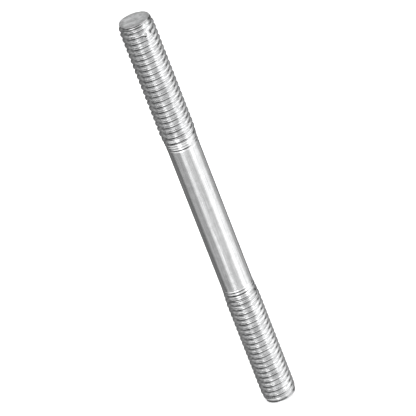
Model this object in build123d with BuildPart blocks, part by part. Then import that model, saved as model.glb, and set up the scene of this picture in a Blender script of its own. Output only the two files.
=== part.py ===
"""Double ended stud, M6 x 1 x 75.

One drawn and thread-rolled steel bar: a metric thread on each end, a plain shank between them.
Millimetres, +Z up. The stud stands on its lower end face, whose centre is the origin.
"""

import os
from math import sqrt

from build123d import *

# Driving dimensions
overall_length = 75.0
thread_size = 6.0  # nominal size, M6
thread_pitch = 1.0
thread_allowance = 0.026  # what tolerance class 6g takes off the nominal size
upper_thread_length = 23.7  # with its run-out
lower_thread_length = 23.5  # with its run-out
upper_runout_length = 3.2
lower_runout_length = 4.2
shank_over_pitch_diameter = 0.11  # the bar is drawn a little over the pitch diameter
lead_length = 2.0  # rounded point at each end
lead_drop = 0.36  # how far the point draws in from the crests, on the radius

# The thread's own sizes, by the rules of the ISO metric thread
thread_height = thread_pitch * sqrt(3) / 2  # of the sharp triangle that the thread comes from
crest_radius = (thread_size - thread_allowance) / 2
pitch_radius = crest_radius - thread_height * 3 / 8

# Worked out from them
shank_radius = pitch_radius + shank_over_pitch_diameter / 2
end_face_radius = crest_radius - lead_drop
upper_thread_foot = overall_length - upper_thread_length

with BuildPart() as stud:
    with BuildSketch(Plane.XZ):
        with BuildLine():
            Line((0, 0), (end_face_radius, 0))
            TangentArc(
                (crest_radius, lead_length),
                (end_face_radius, 0),
                tangent=(0, -1),
            )
            Polyline(
                (crest_radius, lead_length),
                (crest_radius, lower_thread_length - lower_runout_length),
                (shank_radius, lower_thread_length),
                (shank_radius, upper_thread_foot),
                (crest_radius, upper_thread_foot + upper_runout_length),
                (crest_radius, overall_length - lead_length),
            )
            TangentArc(
                (crest_radius, overall_length - lead_length),
                (end_face_radius, overall_length),
                tangent=(0, 1),
            )
            Polyline((end_face_radius, overall_length), (0, overall_length), (0, 0))
        make_face()
    revolve(axis=Axis.Z)

stud.part.label = "stud"

os.makedirs("parts", exist_ok=True)
export_step(stud.part, "parts/stud.step")
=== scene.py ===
"""Looks of a double ended stud: rolled threads, a drawn shank, sheared ends, bright zinc plate.

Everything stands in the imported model's own frame, in metres, +Z up: the stud stands on its
lower end. The classes hold the stud's own sizes in millimetres, the way a drawing gives them,
and turn them into metres where vertices are made.
"""

import logging
import math
from dataclasses import asdict, dataclass, field
from enum import Enum

import bmesh
import bpy
import numpy as np
from mathutils import Matrix, Vector

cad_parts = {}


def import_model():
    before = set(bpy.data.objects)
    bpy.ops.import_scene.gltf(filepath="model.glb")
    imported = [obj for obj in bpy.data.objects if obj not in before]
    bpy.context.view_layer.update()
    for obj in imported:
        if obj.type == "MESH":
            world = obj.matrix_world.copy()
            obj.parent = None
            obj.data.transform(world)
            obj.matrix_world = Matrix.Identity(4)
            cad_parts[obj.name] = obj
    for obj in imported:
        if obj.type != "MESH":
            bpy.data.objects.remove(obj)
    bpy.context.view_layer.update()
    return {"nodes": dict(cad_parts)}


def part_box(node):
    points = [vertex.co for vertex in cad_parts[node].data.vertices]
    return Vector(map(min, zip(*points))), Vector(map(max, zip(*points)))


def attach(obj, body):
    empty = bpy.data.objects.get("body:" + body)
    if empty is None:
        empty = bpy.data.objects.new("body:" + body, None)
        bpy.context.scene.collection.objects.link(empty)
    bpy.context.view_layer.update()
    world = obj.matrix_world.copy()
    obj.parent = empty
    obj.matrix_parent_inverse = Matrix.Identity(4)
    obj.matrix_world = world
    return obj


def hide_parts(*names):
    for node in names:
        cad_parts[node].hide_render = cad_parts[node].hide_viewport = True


log = logging.getLogger("stud")
METRES = 0.001  # one millimetre
NOISE_SPAN = (0.3, 0.7)  # where a noise field has nearly all its values


class Zone(Enum):
    """The surfaces of the stud, each with its own finish; the value is the material index."""

    THREAD = 0
    SHANK = 1
    FACE = 2


class End(Enum):
    """The two ends of the stud; the value is the way the end face looks along Z."""

    LOWER = -1
    UPPER = 1


# ---------------------------------------------------------------- curves


def smooth_step(value: np.ndarray, start: float, stop: float) -> np.ndarray:
    """Eases from 0 at start to 1 at stop, level outside them.

    Args:
        value: Where to read the curve.
        start: Value at which the curve leaves 0.
        stop: Value at which it reaches 1; it may lie below start.

    Returns:
        The eased share, from 0 to 1.
    """
    share = np.clip((value - start) / (stop - start), 0.0, 1.0)
    return share * share * (3.0 - 2.0 * share)


def rounded_min(one: np.ndarray, other: np.ndarray, rounding: float) -> np.ndarray:
    """Takes the lower of two surfaces, with a small round where they cross.

    Args:
        one: Radii of the first surface.
        other: Radii of the second surface.
        rounding: How far apart the two may be and still blend.

    Returns:
        The radii of the joined surface, nowhere above either of the two.
    """
    near = np.clip(rounding - np.abs(one - other), 0.0, None) / rounding
    return np.minimum(one, other) - near * near * rounding / 4.0


def fill_rings(sheet: bmesh.types.BMesh, rings: list[list[bmesh.types.BMVert]],
               middle: bmesh.types.BMVert, upward: bool) -> None:
    """Bridges rings of the same count and closes the innermost one to a middle.

    Args:
        sheet: The mesh that takes the faces.
        rings: Vertices of each ring in the order of their angles, the outermost ring first.
        middle: The vertex in the middle.
        upward: Whether the faces look up.
    """
    pairs = [list(zip(ring, ring[1:] + ring[:1])) for ring in rings]
    faces = [(a, b, c, d) for outer, inner in zip(pairs, pairs[1:])
             for (a, b), (d, c) in zip(outer, inner)]
    faces += [(a, b, middle) for a, b in pairs[-1]]
    for corners in faces:
        sheet.faces.new(corners if upward else corners[::-1])


@dataclass(frozen=True)
class Ripple:
    """A seeded, faint unevenness of a turned surface, closed around the axis."""

    seed: int
    height: float  # largest swing, mm
    waves_around: tuple[int, int]
    wave_length: tuple[float, float]  # along the axis, mm
    parts: int = 7

    def at(self, angle: np.ndarray, height: np.ndarray) -> np.ndarray:
        """Adds up the waves.

        Args:
            angle: Angles around the axis, in radians.
            height: Heights along the axis, in millimetres.

        Returns:
            The swing at each place, in millimetres.
        """
        draw = np.random.default_rng(self.seed)
        total = np.zeros(np.broadcast(angle, height).shape)
        for _ in range(self.parts):
            around = int(draw.integers(self.waves_around[0], self.waves_around[1] + 1))
            length = draw.uniform(*self.wave_length) * draw.choice((-1.0, 1.0))
            shift = draw.uniform(0.0, math.tau)
            total += np.sin(around * angle + math.tau * height / length + shift)
        return total * self.height / self.parts


# ---------------------------------------------------------------- the stud's form


@dataclass(frozen=True)
class MetricThread:
    """One pitch of an ISO metric thread with a rounded root and the seam of a rolled crest."""

    crest_radius: float
    pitch: float = 1.0
    root_rounding: float = 0.30
    corner: float = 0.05
    seam_depth: float = 0.034
    seam_width: float = 0.026

    @property
    def height(self) -> float:
        """Height of the sharp triangle that the thread comes from."""
        return self.pitch * math.sqrt(3.0) / 2.0

    @property
    def pitch_radius(self) -> float:
        """Radius at which thread and gap are equally wide."""
        return self.crest_radius - self.height * 3.0 / 8.0

    @property
    def root_radius(self) -> float:
        """Radius at the bottom of the rounded root."""
        return self.pitch_radius - self.height / 2.0 + self.root_rounding

    def from_crest(self, phase: np.ndarray) -> np.ndarray:
        """Distance along the axis to the nearest crest, in millimetres."""
        return np.abs(phase - np.round(phase)) * self.pitch

    def radius(self, phase: np.ndarray) -> np.ndarray:
        """Radius of the full thread.

        Args:
            phase: Place along the axis in pitches, a whole number at each crest.

        Returns:
            The radius at each place, in millimetres.
        """
        away = self.from_crest(phase)
        flank = self.pitch_radius + (self.pitch / 4.0 - away) * math.sqrt(3.0)
        arc_reach = self.root_rounding * math.cos(math.radians(30.0))
        from_root = np.clip(self.pitch / 2.0 - away, 0.0, arc_reach)
        arc_rise = self.root_rounding - np.sqrt(self.root_rounding**2 - from_root**2)
        outline = np.where(from_root < arc_reach, self.root_radius + arc_rise, flank)
        outline = rounded_min(outline, np.full_like(outline, self.crest_radius), self.corner)
        return outline - self.seam_depth * np.exp(-((away / self.seam_width) ** 2))


@dataclass(frozen=True)
class RunOut:
    """Where a rolled thread fades into the shank: the dies lift and the crests stay open."""

    foot: float  # height at which the last trace ends
    full: float  # height at which the thread has its whole depth
    groove_ease: float = 1.0  # under 1, the grooves stay deep until close to the foot
    open_crest: float = 0.07  # depth of the hollow between the two edges of an unfilled crest
    open_reach: float = 0.14  # how far that hollow reaches to either side of the crest
    open_start: float = 0.08  # share of the run-out in which the hollow forms
    lip: float = 0.0  # height of the metal pushed up at the foot
    lip_offset: float = 0.06  # how far out from the foot the lip lies, on the shank
    lip_reach: float = 0.14

    def share(self, height: np.ndarray) -> np.ndarray:
        """Tells how far the thread has come, from 0 at the foot to 1 where it is whole."""
        return np.clip((height - self.foot) / (self.full - self.foot), 0.0, 1.0)

    def hollow(self, share: np.ndarray, from_crest: np.ndarray) -> np.ndarray:
        """Depth of the hollow in an unfilled crest.

        Args:
            share: How far the thread has come.
            from_crest: Distance along the axis to the crest, in millimetres.

        Returns:
            The depth, none at the foot and none where the thread is whole.
        """
        fade = (1.0 - share) * smooth_step(share, 0.0, self.open_start)
        return self.open_crest * fade * np.exp(-((from_crest / self.open_reach) ** 2))

    def pushed_up(self, height: np.ndarray) -> np.ndarray:
        """Height of the lip at the foot, in millimetres."""
        from_foot = (height - self.foot) * math.copysign(1.0, self.full - self.foot)
        return self.lip * np.exp(-(((from_foot + self.lip_offset) / self.lip_reach) ** 2))


@dataclass(frozen=True)
class LeadIn:
    """The rounded point of each end: an arc from the end face, tangent to the crests."""

    crest_radius: float
    drop: float = 0.36
    length: float = 2.0
    free_span: tuple[float, float] = (0.8, 1.2)  # shares of the length where the point lets go
    dull_share: float = 0.35  # share of the length over which the lower end is darker and rougher
    unevenness: Ripple = Ripple(seed=5, height=0.022, waves_around=(2, 9), wave_length=(6.0, 20.0))

    def limit(self, inward: np.ndarray, angle: np.ndarray) -> np.ndarray:
        """Largest radius that the point allows.

        Args:
            inward: Distance from the end face along the axis, in millimetres.
            angle: Angle around the axis, in radians.

        Returns:
            The radius at each place; past the point it is well above the crests.
        """
        arc_radius = (self.drop**2 + self.length**2) / (2.0 * self.drop)
        left = np.clip(self.length - inward, 0.0, self.length * 1.5)  # some way past the face too
        point = self.crest_radius - arc_radius + np.sqrt(arc_radius**2 - left**2)
        free = smooth_step(inward, *(self.length * share for share in self.free_span))
        return point + self.unevenness.at(angle, inward) * (1.0 - free) + free


@dataclass(frozen=True)
class Smear:
    """A place where a thread was knocked and its metal pressed flat and bright."""

    angle_deg: float
    height: float
    level: float  # radius that the metal was pressed to
    reach_around: float
    reach_along: float
    edge: float = 1.5  # over 1, the smear ends in a clearer edge

    def share(self, angle: np.ndarray, height: np.ndarray, radius: float) -> np.ndarray:
        """Tells how much the smear covers a place.

        Args:
            angle: Angle around the axis, in radians.
            height: Height along the axis, in millimetres.
            radius: Radius on which the reach around is measured.

        Returns:
            The cover, 1 in the middle of the smear and 0 away from it.
        """
        turn = np.angle(np.exp(1j * (angle - math.radians(self.angle_deg))))
        away = (turn * radius / self.reach_around) ** 2
        away = away + ((height - self.height) / self.reach_along) ** 2
        return np.exp(-(away**self.edge))


@dataclass
class Stud:
    """The whole stud as one mesh, whose rows follow the helix of its threads."""

    length: float
    crest_radius: float
    lower_thread_length: float = 23.5
    upper_thread_length: float = 23.7
    lower_runout_length: float = 4.2
    upper_runout_length: float = 3.2
    shank_over_pitch_diameter: float = 0.11
    lower_crest_height: float = 0.27  # of a crest of the lower thread, where X is positive
    upper_crest_height: float = -0.30  # how far above a whole number of pitches the upper one is
    columns: int = 60
    shank_turn: float = 4.0  # how far the mesh climbs in a turn of the plain shank
    shank_margin: float = 0.3  # from each run-out's foot to where that climb begins
    half_rows: tuple[float, ...] = (  # rows on each side of a crest, in pitches
        0.024, 0.048, 0.068, 0.095, 0.16, 0.24, 0.285, 0.335, 0.39, 0.445)
    groove_clearance: float = 0.03  # how far the grooves are lifted clear of the shank
    crest_clearance: float = 0.05  # how far the run-out's level ends above the crests
    run_out_rounding: float = 0.05  # where the lifted grooves meet that level
    point_rounding: float = 0.04  # where the thread meets the point
    rim_cut: float = 0.055  # where the side ends and the rounded rim of the face begins
    rim_steps: tuple[tuple[float, float], ...] = (  # how far in, and how far from the end
        (0.012, 0.030), (0.034, 0.011), (0.068, 0.0015), (0.105, 0.0))
    face_rings: tuple[float, ...] = (0.93, 0.80, 0.64, 0.46, 0.27, 0.10)
    face_middle: float = 0.01  # how far the middle of the face lies in
    face_relief: Ripple = Ripple(
        seed=11, height=0.016, waves_around=(1, 5), wave_length=(1.2, 4.0))
    relief_share: float = 0.6
    relief_stretch: float = 1.7  # makes the face's waves shorter than the ripple's own
    relief_level: float = 1.2  # radius within which the waves die down towards the middle
    wobble: Ripple = Ripple(seed=3, height=0.005, waves_around=(2, 9), wave_length=(3.0, 17.0))
    crest_wear: Ripple = Ripple(seed=8, height=0.014, waves_around=(3, 14), wave_length=(0.7, 9.0))
    smear: Smear = Smear(
        angle_deg=-64.0, height=72.86, level=2.945, reach_around=0.75, reach_along=0.70)
    thread: MetricThread = field(init=False)
    lead_in: LeadIn = field(init=False)
    run_outs: dict[End, RunOut] = field(init=False)

    def __post_init__(self) -> None:
        """Works out the parts that hang on the overall sizes."""
        self.thread = MetricThread(self.crest_radius)
        self.lead_in = LeadIn(self.crest_radius)
        upper_foot = self.length - self.upper_thread_length
        self.run_outs = {
            End.LOWER: RunOut(self.lower_thread_length,
                              self.lower_thread_length - self.lower_runout_length,
                              groove_ease=0.7),
            End.UPPER: RunOut(upper_foot, upper_foot + self.upper_runout_length,
                              groove_ease=1.2, open_crest=0.09, lip=0.05),
        }

    @property
    def shank_radius(self) -> float:
        """Radius of the plain shank, the bar that the threads were rolled on."""
        return self.thread.pitch_radius + self.shank_over_pitch_diameter / 2.0

    def heights(self, turn: np.ndarray) -> np.ndarray:
        """Height of the mesh's helix: one pitch a turn on the threads, steeper on the shank.

        Args:
            turn: Turns climbed, a whole number where a crest of the lower thread is at angle 0.

        Returns:
            The height at each place, in millimetres.
        """
        pitch = self.thread.pitch
        start = self.run_outs[End.LOWER].foot + self.shank_margin
        stop = self.run_outs[End.UPPER].foot - self.shank_margin
        start_turn = (start - self.lower_crest_height) / pitch
        crest_turn = (stop - self.upper_crest_height) / pitch
        wanted = start_turn + (stop - start) / self.shank_turn
        stop_turn = crest_turn + round(wanted - crest_turn)
        span = stop_turn - start_turn
        share = np.clip((turn - start_turn) / span, 0.0, 1.0)
        ease_in = share * (1.0 - share) ** 2 * span * pitch
        ease_out = share**2 * (share - 1.0) * span * pitch
        middle = start + (stop - start) * share**2 * (3.0 - 2.0 * share) + ease_in + ease_out
        below = start + (turn - start_turn) * pitch
        above = stop + (turn - stop_turn) * pitch
        return np.where(turn < start_turn, below, np.where(turn > stop_turn, above, middle))

    def turns(self) -> np.ndarray:
        """Lists the mesh's rows by their turn at angle 0, from below one end to past the other."""
        rows = sorted([0.0, 0.5, *self.half_rows, *(1.0 - row for row in self.half_rows)])
        spare = 1.6  # turns past each end, which the end's cut takes off
        first = math.floor(-self.lower_crest_height / self.thread.pitch - spare)
        last = first
        while float(self.heights(np.array(float(last)))) < self.length + spare:
            last += 1
        return (np.arange(first, last)[:, None] + np.array(rows)[None, :]).ravel()

    def radii(self, angle: np.ndarray, height: np.ndarray, phase: np.ndarray) -> np.ndarray:
        """Radius of the stud's side.

        Args:
            angle: Angles around the axis, in radians.
            height: Heights along the axis, in millimetres.
            phase: Place on the thread in pitches, a whole number at each crest.

        Returns:
            The radius at each place, in millimetres.
        """
        profile = self.thread.radius(phase) + self.crest_wear.at(angle, height)
        from_crest = self.thread.from_crest(phase)
        lower, upper = (self.rolled(run_out, profile, from_crest, height)
                        for run_out in (self.run_outs[End.LOWER], self.run_outs[End.UPPER]))
        side = np.where(height > self.length / 2.0, upper, lower)
        bump = self.smear.share(angle, height, self.crest_radius)
        side = side + (self.smear.level - side) * bump
        inward = np.minimum(height, self.length - height)
        side = rounded_min(side, self.lead_in.limit(inward, angle), self.point_rounding)
        side = side + self.wobble.at(angle, height)
        return np.minimum(side, self.crest_radius)

    def rolled(self, run_out: RunOut, profile: np.ndarray, from_crest: np.ndarray,
               height: np.ndarray) -> np.ndarray:
        """Lets a full thread fade into the shank at its run-out.

        Args:
            run_out: The run-out of this thread.
            profile: Radii of the full thread.
            from_crest: Distance along the axis to the nearest crest, in millimetres.
            height: Heights along the axis, in millimetres.

        Returns:
            The radius at each place, in millimetres.
        """
        share = run_out.share(height)
        shank = self.shank_radius
        left = 1.0 - share**run_out.groove_ease
        lifted = profile + left * (shank - self.thread.root_radius + self.groove_clearance)
        level = shank + (self.crest_radius + self.crest_clearance - shank) * share
        level = level - run_out.hollow(share, from_crest)
        return rounded_min(lifted, level, self.run_out_rounding) + run_out.pushed_up(height)

    def side_mesh(self) -> tuple[np.ndarray, np.ndarray, np.ndarray]:
        """Makes the helical sheet of the side, longer than the stud at both ends.

        Returns:
            The vertices in metres, the faces, and how far the dies burnished each vertex.
        """
        turns = self.turns()
        share = np.arange(self.columns) / self.columns
        height = self.heights(turns[:, None] + share[None, :])
        angle = np.broadcast_to(share[None, :] * math.tau, height.shape)
        phase = np.broadcast_to(turns[:, None], height.shape)
        radius = self.radii(angle, height, phase)
        places = np.stack((radius * np.cos(angle), radius * np.sin(angle), height), axis=-1)
        point = self.lead_in.length
        clear_of_point = smooth_step(height, point * self.lead_in.dull_share, point)
        rows = len(turns)
        rows_a_turn = 2 * len(self.half_rows) + 2
        index = np.arange(rows * self.columns).reshape(rows, self.columns)
        closed = np.full((rows, self.columns + 1), -1)
        closed[:, :-1] = index
        closed[:-rows_a_turn, -1] = index[rows_a_turn:, 0]
        quads = np.stack((closed[:-1, :-1], closed[:-1, 1:], closed[1:, 1:], closed[1:, :-1]),
                         axis=-1).reshape(-1, 4)
        quads = quads[(quads >= 0).all(axis=1)]
        return places.reshape(-1, 3) * METRES, quads, clear_of_point.ravel()

    def close_end(self, sheet: bmesh.types.BMesh, end: End) -> None:
        """Cuts the sheet off square and closes it with a rounded rim and an end face.

        Args:
            sheet: The side's mesh, changed in place.
            end: Which end to close.
        """
        face_height = 0.0 if end is End.LOWER else self.length
        cut = (face_height - end.value * self.rim_cut) * METRES
        everything = [*sheet.verts, *sheet.edges, *sheet.faces]
        bmesh.ops.bisect_plane(sheet, geom=everything, dist=1e-8, plane_co=(0.0, 0.0, cut),
                               plane_no=(0.0, 0.0, float(end.value)), clear_outer=True)
        bmesh.ops.remove_doubles(sheet, verts=self.rim(sheet, cut), dist=4e-6)
        rim = sorted(self.rim(sheet, cut), key=lambda v: math.atan2(v.co.y, v.co.x))
        angles = np.array([math.atan2(v.co.y, v.co.x) for v in rim])
        radii = np.array([math.hypot(v.co.x, v.co.y) for v in rim]) / METRES
        steps = [(radii - inset, np.full_like(radii, depth)) for inset, depth in self.rim_steps]
        inner = radii - self.rim_steps[-1][0]
        steps += [(inner * share, self.relief(angles, inner * share)) for share in self.face_rings]
        rings = [rim]
        for ring_radii, depths in steps:
            heights = face_height - end.value * depths
            places = np.stack((ring_radii * np.cos(angles), ring_radii * np.sin(angles), heights),
                              axis=-1) * METRES
            rings.append([sheet.verts.new(place) for place in places])
        middle_height = face_height - end.value * self.face_middle
        middle = sheet.verts.new((0.0, 0.0, middle_height * METRES))
        fill_rings(sheet, rings, middle, upward=end is End.UPPER)

    @staticmethod
    def rim(sheet: bmesh.types.BMesh, height: float) -> list[bmesh.types.BMVert]:
        """Finds the vertices of the open rim at a height in metres."""
        return [v for v in sheet.verts if v.is_boundary and abs(v.co.z - height) < 1e-7]

    def relief(self, angle: np.ndarray, radius: np.ndarray) -> np.ndarray:
        """How far the sheared face lies in from the end, in millimetres."""
        swing = self.face_relief.at(angle, radius * self.relief_stretch)
        swing = swing * self.relief_share * smooth_step(radius, 0.0, self.relief_level)
        return self.face_relief.height * self.relief_share + swing

    def dress(self, mesh: bpy.types.Mesh) -> None:
        """Gives each face of the finished mesh the finish of its zone."""
        lower, upper = self.run_outs[End.LOWER].foot, self.run_outs[End.UPPER].foot
        face_depth, face_slope = 0.03, 0.7  # what still counts as end face
        for face in mesh.polygons:
            centre = face.center / METRES
            inward = min(centre.z, self.length - centre.z)
            if inward < face_depth and abs(face.normal.z) > face_slope:
                face.material_index = Zone.FACE.value
            elif lower < centre.z < upper:
                face.material_index = Zone.SHANK.value
            else:
                face.material_index = Zone.THREAD.value

    def build(self, finishes: dict[Zone, bpy.types.Material]) -> bpy.types.Object:
        """Makes the stud.

        Args:
            finishes: The material of each zone.

        Returns:
            The stud as one object, in metres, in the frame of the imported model.
        """
        places, quads, clear_of_point = self.side_mesh()
        mesh = bpy.data.meshes.new("rolled_stud")
        mesh.from_pydata(places.tolist(), [], quads.tolist())
        clear_attribute = mesh.attributes.new("clear_of_point", "FLOAT", "POINT")
        clear_attribute.data.foreach_set("value", clear_of_point.astype(np.float32))
        sheet = bmesh.new()
        sheet.from_mesh(mesh)
        for end in End:
            self.close_end(sheet, end)
        loose = [v for v in sheet.verts if not v.link_faces]
        bmesh.ops.delete(sheet, geom=loose, context="VERTS")
        sheet.to_mesh(mesh)
        sheet.free()
        for zone in Zone:
            mesh.materials.append(finishes[zone])
        self.dress(mesh)
        mesh.shade_smooth()
        stud = bpy.data.objects.new("rolled_stud", mesh)
        bpy.context.scene.collection.objects.link(stud)
        return stud


# ---------------------------------------------------------------- node trees


class Graph:
    """A node tree with short calls for placing nodes and joining them."""

    def __init__(self, tree: bpy.types.NodeTree) -> None:
        """Takes the tree that the nodes go into."""
        self.tree = tree

    def put(self, socket: bpy.types.NodeSocket, value: object) -> None:
        """Links an output to the socket, or sets a plain value on it."""
        if isinstance(value, bpy.types.NodeSocket):
            self.tree.links.new(value, socket)
        else:
            socket.default_value = value

    def node(self, kind: str, inputs: dict[str, object] | None = None,
             **settings: object) -> bpy.types.Node:
        """Places a node.

        Args:
            kind: The node's type, without the ShaderNode in front.
            inputs: Values or outputs for its named inputs.
            **settings: Properties of the node itself.

        Returns:
            The new node.
        """
        made = self.tree.nodes.new("ShaderNode" + kind)
        for name, value in settings.items():
            setattr(made, name, value)
        for name, value in (inputs or {}).items():
            self.put(made.inputs[name], value)
        return made

    def math(self, operation: str, *values: object, clamp: bool = False) -> bpy.types.NodeSocket:
        """Places a Math node and returns its output."""
        made = self.tree.nodes.new("ShaderNodeMath")
        made.operation = operation
        made.use_clamp = clamp
        for socket, value in zip(made.inputs, values):
            self.put(socket, value)
        return made.outputs[0]

    def span(self, value: object, low: object, high: object, to_low: object = 0.0,
             to_high: object = 1.0, smooth: bool = False) -> bpy.types.NodeSocket:
        """Maps a value from one span to another and holds it at the ends.

        Args:
            value: The value to map.
            low: Where the first span starts.
            high: Where it ends.
            to_low: What low becomes.
            to_high: What high becomes.
            smooth: Whether the change eases in and out.

        Returns:
            The mapped value's output.
        """
        made = self.node("MapRange", {"Value": value, "From Min": low, "From Max": high,
                                      "To Min": to_low, "To Max": to_high},
                         interpolation_type="SMOOTHSTEP" if smooth else "LINEAR", clamp=True)
        return made.outputs["Result"]

    def weigh(self, *parts: tuple[object, float]) -> bpy.types.NodeSocket:
        """Adds up values, each times its weight."""
        total, *rest = (self.math("MULTIPLY", value, weight) for value, weight in parts)
        for part in rest:
            total = self.math("ADD", total, part)
        return total

    def vector(self, x: object, y: object, z: object) -> bpy.types.NodeSocket:
        """Joins three values into a vector."""
        return self.node("CombineXYZ", {"X": x, "Y": y, "Z": z}).outputs["Vector"]

    def scaled(self, parts: bpy.types.Node, scales: tuple[float, ...]) -> bpy.types.NodeSocket:
        """Joins a place's three parts into a vector, each times its scale."""
        return self.vector(*(self.math("MULTIPLY", parts.outputs[axis], scale)
                             for axis, scale in zip("XYZ", scales)))

    def noise(self, vector: object, scale: object, detail: float, roughness: float,
              distortion: float = 0.0) -> bpy.types.NodeSocket:
        """Reads a noise field, from about 0 to 1, at a vector."""
        made = self.node("TexNoise", {"Vector": vector, "Scale": scale, "Detail": detail,
                                      "Roughness": roughness, "Distortion": distortion})
        return made.outputs["Fac"]

    def tint(self, factor: object, dark: tuple, light: tuple) -> bpy.types.NodeSocket:
        """Mixes two colours by a factor."""
        made = self.tree.nodes.new("ShaderNodeMix")
        made.data_type = "RGBA"
        self.put(made.inputs[0], factor)
        made.inputs[6].default_value = (*dark, 1.0)
        made.inputs[7].default_value = (*light, 1.0)
        return made.outputs[2]


class NodeGroup:
    """A shader node group that is built once and placed in each tree that uses it."""

    name = "group"
    sockets_in: dict[str, str] = {}
    sockets_out: dict[str, str] = {}

    @classmethod
    def tree(cls) -> bpy.types.NodeTree:
        """Returns the group's tree, building it at the first call."""
        known = bpy.data.node_groups.get(cls.name)
        if known:
            return known
        tree = bpy.data.node_groups.new(cls.name, "ShaderNodeTree")
        for name, kind in cls.sockets_in.items():
            tree.interface.new_socket(name, in_out="INPUT", socket_type="NodeSocket" + kind)
        for name, kind in cls.sockets_out.items():
            tree.interface.new_socket(name, in_out="OUTPUT", socket_type="NodeSocket" + kind)
        graph = Graph(tree)
        source = tree.nodes.new("NodeGroupInput")
        results = cls.fill(graph, source.outputs)
        sink = tree.nodes.new("NodeGroupOutput")
        for name, value in results.items():
            graph.put(sink.inputs[name], value)
        return tree

    @classmethod
    def fill(cls, graph: Graph, given: bpy.types.bpy_prop_collection) -> dict[str, object]:
        """Places the group's nodes and returns the output that each result takes."""
        raise NotImplementedError

    @classmethod
    def place(cls, graph: Graph, **inputs: object) -> bpy.types.bpy_prop_collection:
        """Puts the group into a tree and returns its outputs."""
        made = graph.tree.nodes.new("ShaderNodeGroup")
        made.node_tree = cls.tree()
        for name, value in inputs.items():
            graph.put(made.inputs[name.replace("_", " ").capitalize()], value)
        return made.outputs


class PlatingGrain(NodeGroup):
    """The fine, cloudy grain of electroplated zinc, the same on every surface of the stud."""

    name = "plating_grain"
    sockets_in = {"Place": "Vector", "Fineness": "Float"}
    sockets_out = {"Cloud": "Float", "Grain": "Float"}

    @classmethod
    def fill(cls, graph: Graph, given: bpy.types.bpy_prop_collection) -> dict[str, object]:
        """Places a cloudy field and a fine one, both from 0 to 1."""
        cloud = graph.noise(given["Place"], 0.9, detail=3.0, roughness=0.6, distortion=0.3)
        grain = graph.noise(given["Place"], given["Fineness"], detail=4.0, roughness=0.65)
        return {"Cloud": graph.span(cloud, *NOISE_SPAN), "Grain": grain}


class SoftCard(NodeGroup):
    """One card of light in the studio, soft at its edges, read from the ray's direction."""

    name = "soft_card"
    sockets_in = {"Across": "Float", "Up": "Float", "Middle": "Float", "Half width": "Float",
                  "Edge": "Float", "Level height": "Float", "Half height": "Float",
                  "Fade": "Float", "Brightness": "Float"}
    sockets_out = {"Light": "Float"}

    @classmethod
    def fill(cls, graph: Graph, given: bpy.types.bpy_prop_collection) -> dict[str, object]:
        """Multiplies a soft window across by a soft window up."""
        windows = []
        for place, middle, half, edge in (("Across", "Middle", "Half width", "Edge"),
                                          ("Up", "Level height", "Half height", "Fade")):
            away = graph.math("WRAP", graph.math("SUBTRACT", given[place], given[middle]),
                              180.0, -180.0)
            away = graph.math("ABSOLUTE", away)
            outer = graph.math("ADD", given[half], given[edge])
            windows.append(graph.span(away, outer, given[half], smooth=True))
        both = graph.math("MULTIPLY", *windows)
        return {"Light": graph.math("MULTIPLY", both, given["Brightness"])}


# ---------------------------------------------------------------- finishes


@dataclass(frozen=True)
class Finish:
    """What every finish of the stud shares: bright zinc over steel."""

    name: str
    base: float  # how much light the zinc gives back
    roughness: float
    dark: float  # the darkest and the brightest tone, as shares of the base
    light: float
    contrast: tuple[float, float]  # span of the shade that goes from dark to light
    fineness: float  # of the plating's grain, per millimetre
    relief_depth: float  # mm
    spread: float = 0.06  # how far the roughness goes up and down
    cast: tuple[float, float, float] = (0.995, 1.0, 1.006)  # the zinc's faint blue

    def start(self) -> tuple[bpy.types.Material, Graph, bpy.types.Node]:
        """Makes an empty metal material.

        Returns:
            The material, its graph and its Principled shader.
        """
        material = bpy.data.materials.new(self.name)
        material.use_nodes = True
        material.node_tree.nodes.clear()
        graph = Graph(material.node_tree)
        shader = graph.node("BsdfPrincipled", {"Metallic": 1.0, "IOR": 1.45})
        sink = graph.node("OutputMaterial")
        graph.put(sink.inputs["Surface"], shader.outputs["BSDF"])
        return material, graph, shader

    def tone(self, level: float) -> tuple[float, float, float]:
        """Returns the zinc's colour at a share of its brightness."""
        return tuple(self.base * level * part for part in self.cast)

    @staticmethod
    def place(graph: Graph) -> tuple[bpy.types.NodeSocket, bpy.types.Node]:
        """Reads the place on the stud in millimetres, whole and as its three parts."""
        source = graph.node("TexCoord").outputs["Object"]
        scaled = graph.node("VectorMath", operation="SCALE")
        graph.put(scaled.inputs[0], source)
        graph.put(scaled.inputs["Scale"], 1.0 / METRES)
        parts = graph.node("SeparateXYZ", {"Vector": scaled.outputs["Vector"]})
        return scaled.outputs["Vector"], parts

    def surface(self, graph: Graph, shader: bpy.types.Node, shade: object, rough: object,
                height: object) -> None:
        """Gives the shader its colour, roughness and relief.

        Args:
            graph: The material's graph.
            shader: Its Principled shader.
            shade: Where the colour lies between dark and light, from 0 to 1.
            rough: What is added to the roughness.
            height: Height field of the relief, from 0 to 1.
        """
        colour = graph.tint(shade, self.tone(self.dark), self.tone(self.light))
        graph.put(shader.inputs["Base Color"], colour)
        graph.put(shader.inputs["Roughness"], graph.math("ADD", rough, self.roughness))
        bump = graph.node("Bump", {"Strength": 1.0, "Distance": self.relief_depth * METRES,
                                   "Height": height})
        graph.put(shader.inputs["Normal"], bump.outputs["Normal"])

    def rough_spread(self, graph: Graph, value: object) -> bpy.types.NodeSocket:
        """Turns a noise field into what it adds to the roughness."""
        return graph.span(value, *NOISE_SPAN, -self.spread, self.spread)


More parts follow.
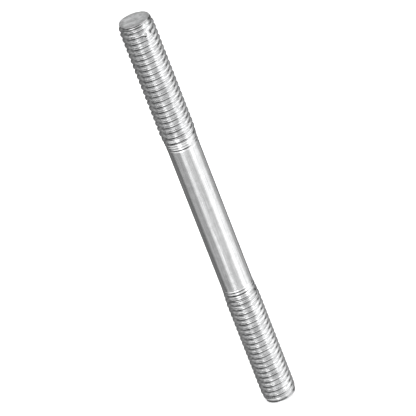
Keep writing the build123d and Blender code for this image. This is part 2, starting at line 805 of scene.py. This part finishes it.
@dataclass(frozen=True)
class DrawnShank(Finish):
    """The plain shank: fine scratches along the axis from drawing the bar."""

    name: str = "drawn_shank"
    base: float = 0.86
    roughness: float = 0.21
    dark: float = 0.80
    light: float = 1.06
    contrast: tuple[float, float] = (0.36, 0.64)
    fineness: float = 5.0
    relief_depth: float = 0.0027
    scratch_scale: tuple[float, float, float] = (7.0, 7.0, 0.13)  # per mm, long along the bar
    band_scale: tuple[float, float, float] = (1.6, 1.6, 0.03)

    def material(self) -> bpy.types.Material:
        """Makes the material."""
        material, graph, shader = self.start()
        place, parts = self.place(graph)
        scratches = graph.noise(graph.scaled(parts, self.scratch_scale), 1.0,
                                detail=4.0, roughness=0.7)
        bands = graph.noise(graph.scaled(parts, self.band_scale), 1.0, detail=2.0, roughness=0.5)
        plate = PlatingGrain.place(graph, place=place, fineness=self.fineness)
        shade = graph.weigh((scratches, 0.85), (plate["Cloud"], 0.15))
        rough = graph.weigh((bands, 0.5), (plate["Grain"], 0.5))
        height = graph.weigh((scratches, 0.75), (plate["Grain"], 0.25), (bands, 2.2))
        self.surface(graph, shader, graph.span(shade, *self.contrast),
                     self.rough_spread(graph, rough), height)
        return material


@dataclass(frozen=True)
class RolledThread(Finish):
    """The threads: burnished flanks with fine rolling lines, darker and rougher on the lower
    point.
    """

    name: str = "rolled_thread"
    base: float = 0.92  # the dies leave it brighter than the drawn bar
    roughness: float = 0.17
    dark: float = 0.72
    light: float = 1.03
    contrast: tuple[float, float] = (0.3, 0.62)
    fineness: float = 6.0
    relief_depth: float = 0.0020
    pitch: float = 1.0
    lines: float = 4.2  # fineness of the rolling lines over the profile
    along_x: float = 0.35  # how slowly the lines change along the helix
    along_y: float = 0.35
    along_z: float = 0.5
    dull_shade: float = 0.7
    dull_rough: float = 0.12

    def material(self) -> bpy.types.Material:
        """Makes the material."""
        material, graph, shader = self.start()
        place, parts = self.place(graph)
        plate = PlatingGrain.place(graph, place=place, fineness=self.fineness)
        lines = self.rolling_lines(graph, parts)
        clear_of_point = graph.node("Attribute", attribute_name="clear_of_point").outputs["Fac"]
        lower_point = graph.math("SUBTRACT", 1.0, clear_of_point)
        shade = graph.span(graph.weigh((lines, 0.6), (plate["Cloud"], 0.4)), *self.contrast)
        # the colour darkens and the roughness rises towards the lower point
        shade = graph.math("SUBTRACT", shade, graph.math("MULTIPLY", lower_point, self.dull_shade),
                           clamp=True)
        rough = graph.math("ADD", self.rough_spread(graph, plate["Grain"]),
                           graph.math("MULTIPLY", lower_point, self.dull_rough))
        self.surface(graph, shader, shade, rough, graph.weigh((lines, 1.0), (plate["Grain"], 0.4)))
        return material

    def rolling_lines(self, graph: Graph, parts: bpy.types.Node) -> bpy.types.NodeSocket:
        """Makes the fine lines that the dies leave, which follow the thread.

        Args:
            graph: The material's graph.
            parts: The place on the stud, as its three parts.

        Returns:
            The lines' field, from 0 to 1.
        """
        x, y, z = (parts.outputs[axis] for axis in "XYZ")
        angle = graph.math("ARCTAN2", y, x)
        climb = graph.math("SUBTRACT", graph.math("MULTIPLY", z, math.tau / self.pitch), angle)
        where = graph.vector(graph.math("MULTIPLY", graph.math("COSINE", climb), self.lines),
                             graph.math("MULTIPLY", graph.math("SINE", climb), self.lines),
                             graph.math("MULTIPLY", x, self.along_x))
        along = graph.weigh((y, self.along_y), (z, self.along_z))
        noise = graph.node("TexNoise", {"Vector": where, "W": along, "Scale": 1.0, "Detail": 4.0,
                                        "Roughness": 0.65}, noise_dimensions="4D")
        return noise.outputs["Fac"]


@dataclass(frozen=True)
class ShearedFace(Finish):
    """The end faces: cropped metal, matt and mottled under the zinc."""

    name: str = "sheared_face"
    base: float = 0.80
    roughness: float = 0.46
    dark: float = 0.64
    light: float = 1.18
    contrast: tuple[float, float] = (0.25, 0.72)
    fineness: float = 5.0
    relief_depth: float = 0.020
    tear_scale: tuple[float, float, float] = (1.3, 3.6, 1.0)  # long along X
    dull_span: tuple[float, float] = (1.5, 2.55)  # mm from the axis over which painted shade darkens the face towards the rim
    dull_shade: float = 0.45

    def material(self) -> bpy.types.Material:
        """Makes the material."""
        material, graph, shader = self.start()
        place, parts = self.place(graph)
        plate = PlatingGrain.place(graph, place=place, fineness=self.fineness)
        tear = graph.noise(graph.scaled(parts, self.tear_scale), 1.0, detail=5.0, roughness=0.7)
        out = graph.node("VectorMath", operation="LENGTH")
        graph.put(out.inputs[0], graph.vector(parts.outputs["X"], parts.outputs["Y"], 0.0))
        # painted shade: the colour darkens towards the rim all round
        edge = graph.span(out.outputs["Value"], *self.dull_span, smooth=True)
        shade = graph.span(graph.weigh((plate["Cloud"], 0.5), (tear, 0.5)), *self.contrast)
        shade = graph.math("SUBTRACT", shade, graph.math("MULTIPLY", edge, self.dull_shade),
                           clamp=True)
        self.surface(graph, shader, shade, self.rough_spread(graph, plate["Grain"]),
                     graph.weigh((plate["Grain"], 1.0), (tear, 0.7)))
        return material


# ---------------------------------------------------------------- studio


@dataclass(frozen=True)
class Card:
    """Sizes of one soft card of light, around the stud in degrees or overhead in shares."""

    middle: float
    half_width: float
    edge: float
    brightness: float
    level_height: float
    half_height: float
    fade: float


@dataclass(frozen=True)
class Studio:
    """A plain pale sweep, soft cards of light on every side, and the camera."""

    ambient: float = 0.03
    ring: tuple[Card, ...] = (
        Card(0.0, 180.0, 1.0, 0.85, -90.0, 14.0, 8.0),  # light table, straight below
        Card(0.0, 180.0, 1.0, 0.72, -57.0, 12.0, 11.0),  # the same table, farther out
        Card(-26.0, 8.0, 11.0, 2.00, -54.0, 16.0, 9.0),  # bright strip on it, left of the front
        Card(-28.0, 7.0, 10.0, 0.84, -16.0, 16.0, 10.0),  # the strip, up to eye level
        Card(-67.0, 20.0, 13.0, 0.50, -52.0, 8.0, 10.0),  # table at the left
        Card(10.0, 20.0, 12.0, 0.30, -52.0, 8.0, 10.0),  # table in front
        Card(60.0, 18.0, 14.0, 0.40, -50.0, 8.0, 12.0),  # table at the right
        Card(17.0, 26.0, 12.0, 0.65, -16.0, 16.0, 11.0),  # table edge in front
        Card(67.0, 13.0, 33.0, 0.82, -5.0, 32.0, 20.0),  # large box at the right
        Card(58.0, 11.0, 22.0, 0.29, -14.0, 24.0, 20.0),  # its hot middle
        Card(80.0, 24.0, 20.0, 0.50, 52.0, 12.0, 16.0),  # its upper edge
        Card(116.0, 20.0, 20.0, 0.41, -30.0, 11.0, 21.0),  # table, right and behind
        Card(-67.0, 20.0, 13.0, 0.39, -20.0, 14.0, 13.0),  # grey shelf at the left
        Card(-115.0, 20.0, 20.0, 0.13, -15.0, 25.0, 20.0),  # grey wall, left and behind
        Card(-150.0, 15.0, 20.0, 0.07, -15.0, 20.0, 20.0),  # the same wall, in shade
        Card(180.0, 20.0, 22.0, 1.50, 60.0, 12.0, 18.0),  # ceiling behind
        Card(138.0, 20.0, 22.0, 0.80, 60.0, 12.0, 18.0),  # ceiling behind, at the right
        Card(-124.0, 12.0, 16.0, 0.28, 50.0, 8.0, 14.0),  # top of the grey wall
        Card(-146.0, 12.0, 20.0, 0.16, 27.0, 10.0, 16.0),  # wall behind, at the left
        Card(146.0, 12.0, 20.0, 0.32, 27.0, 10.0, 16.0),  # wall behind, at the right
    )
    overhead: tuple[Card, ...] = (
        Card(-0.65, 0.27, 0.15, 1.42, 1.0, 0.12, 0.14),  # ceiling at the left
        Card(0.0, 0.22, 0.15, 0.66, 1.0, 0.12, 0.14),  # ceiling above
        Card(0.64, 0.27, 0.18, 0.90, 1.0, 0.12, 0.14),  # ceiling at the right
    )
    floor_colour: tuple[float, float, float] = (0.90, 0.90, 0.90)
    floor_glow: float = 0.6  # lifts the paper to white where it is looked at
    floor_columns: int = 96
    flat_radii: tuple[float, ...] = (0.1, 0.4)  # rings of the flat part, in metres
    sweep_radius: float = 2.0
    sweep_bend: float = 0.9
    sweep_steps: int = 12
    sweep_height: float = 2.4
    camera_elevation: float = 27.12  # degrees above level
    camera_roll: float = 21.395  # degrees
    camera_distance: float = 0.5681
    camera_lens: float = 296.1  # millimetres, on the sensor below
    camera_sensor: float = 36.0
    camera_clip: tuple[float, float] = (0.01, 10.0)
    aim_across: float = 0.000061  # from the stud's middle, in metres
    aim_above_middle: float = 0.000833

    def light_the_world(self) -> None:
        """Fills the world with the cards, read from the direction that a ray leaves in."""
        world = bpy.data.worlds.new("studio")
        bpy.context.scene.world = world
        world.use_nodes = True
        world.node_tree.nodes.clear()
        graph = Graph(world.node_tree)
        ray = graph.node("SeparateXYZ", {"Vector": graph.node("TexCoord").outputs["Generated"]})
        x, y, z = (ray.outputs[axis] for axis in "XYZ")
        around = graph.math("DEGREES", graph.math("ARCTAN2", x, graph.math("MULTIPLY", y, -1.0)))
        rise = graph.math("DEGREES", graph.math("ARCSINE", z))
        total: object = self.ambient
        for cards, across, up in ((self.ring, around, rise), (self.overhead, x, z)):
            for card in cards:
                light = SoftCard.place(graph, across=across, up=up, **asdict(card))["Light"]
                total = graph.math("ADD", total, light)
        backdrop = graph.node("Background", {"Color": total, "Strength": 1.0})
        sink = graph.node("OutputWorld")
        graph.put(sink.inputs["Surface"], backdrop.outputs["Background"])

    def lay_the_floor(self) -> bpy.types.Object:
        """Makes the floor, a disc whose rim sweeps up all round.

        Returns:
            The floor, which glossy and shadow rays pass through.
        """
        outline = [(self.sweep_radius, self.sweep_height)]
        for step in range(self.sweep_steps, -1, -1):
            turn = math.pi / 2.0 * step / self.sweep_steps
            outline.append((self.sweep_radius - self.sweep_bend * (1.0 - math.sin(turn)),
                            self.sweep_bend * (1.0 - math.cos(turn))))
        outline += [(radius, 0.0) for radius in reversed(self.flat_radii)]
        angles = [math.tau * column / self.floor_columns for column in range(self.floor_columns)]
        sheet = bmesh.new()
        rings = [[sheet.verts.new((radius * math.cos(angle), radius * math.sin(angle), height))
                  for angle in angles] for radius, height in outline]
        fill_rings(sheet, rings, sheet.verts.new((0.0, 0.0, 0.0)), upward=True)
        mesh = bpy.data.meshes.new("studio_floor")
        sheet.to_mesh(mesh)
        sheet.free()
        mesh.shade_smooth()
        mesh.materials.append(self.floor_material())
        floor = bpy.data.objects.new("studio_floor", mesh)
        bpy.context.scene.collection.objects.link(floor)
        floor.visible_glossy = False
        floor.visible_shadow = False
        return floor

    def floor_material(self) -> bpy.types.Material:
        """Makes the floor's paper: pale, matt, and lifted to white where it is looked at."""
        material = bpy.data.materials.new("studio_paper")
        material.use_nodes = True
        material.node_tree.nodes.clear()
        graph = Graph(material.node_tree)
        path = graph.node("LightPath")
        seen = graph.math("MAXIMUM", path.outputs["Is Camera Ray"], path.outputs["Is Glossy Ray"])
        seen = graph.math("MAXIMUM", seen, path.outputs["Is Transmission Ray"])
        paper = graph.node("BsdfDiffuse", {"Color": (*self.floor_colour, 1.0)})
        glow = graph.node("Emission", {"Strength": graph.math("MULTIPLY", seen, self.floor_glow)})
        both = graph.node("AddShader")
        graph.put(both.inputs[0], paper.outputs["BSDF"])
        graph.put(both.inputs[1], glow.outputs["Emission"])
        sink = graph.node("OutputMaterial")
        graph.put(sink.inputs["Surface"], both.outputs["Shader"])
        return material

    def set_the_camera(self, middle_height: float) -> bpy.types.Object:
        """Sets the camera, looking down on the stud and rolled to one side.

        Args:
            middle_height: Height of the middle of the stud, in metres.

        Returns:
            The camera.
        """
        rise, roll = math.radians(self.camera_elevation), math.radians(self.camera_roll)
        ahead = Vector((0.0, math.cos(rise), -math.sin(rise)))
        level_right = Vector((1.0, 0.0, 0.0))
        level_up = Vector((0.0, math.sin(rise), math.cos(rise)))
        right = level_right * math.cos(roll) - level_up * math.sin(roll)
        up = level_right * math.sin(roll) + level_up * math.cos(roll)
        target = Vector((self.aim_across, 0.0, middle_height + self.aim_above_middle))
        data = bpy.data.cameras.new("camera")
        data.lens = self.camera_lens
        data.sensor_width = self.camera_sensor
        data.clip_start, data.clip_end = self.camera_clip
        camera = bpy.data.objects.new("camera", data)
        turn = Matrix((right, up, -ahead)).transposed().to_4x4()
        camera.matrix_world = Matrix.Translation(target - ahead * self.camera_distance) @ turn
        bpy.context.scene.collection.objects.link(camera)
        bpy.context.scene.camera = camera
        return camera


def main() -> None:
    """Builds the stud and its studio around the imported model."""
    logging.basicConfig(level=logging.INFO, format="%(message)s")
    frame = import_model()
    low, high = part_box("stud")
    log.info("packed nodes: %s", ", ".join(sorted(frame["nodes"])))
    bpy.context.scene.view_settings.view_transform = "Standard"

    studio = Studio()
    studio.set_the_camera((low.z + high.z) / 2.0)
    studio.light_the_world()
    floor = studio.lay_the_floor()
    log.info("%s: %d faces", floor.name, len(floor.data.polygons))

    finishes = {Zone.THREAD: RolledThread().material(), Zone.SHANK: DrawnShank().material(),
                Zone.FACE: ShearedFace().material()}
    design = Stud(length=(high.z - low.z) / METRES, crest_radius=min(-low.x, high.x) / METRES)
    stud = design.build(finishes)
    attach(stud, "root")
    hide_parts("stud")
    triangles = sum(len(face.vertices) - 2 for face in stud.data.polygons)
    log.info("%s: %d triangles, shank %.3f mm across", stud.name, triangles,
             2.0 * design.shank_radius)


if __name__ == "__main__":
    main()
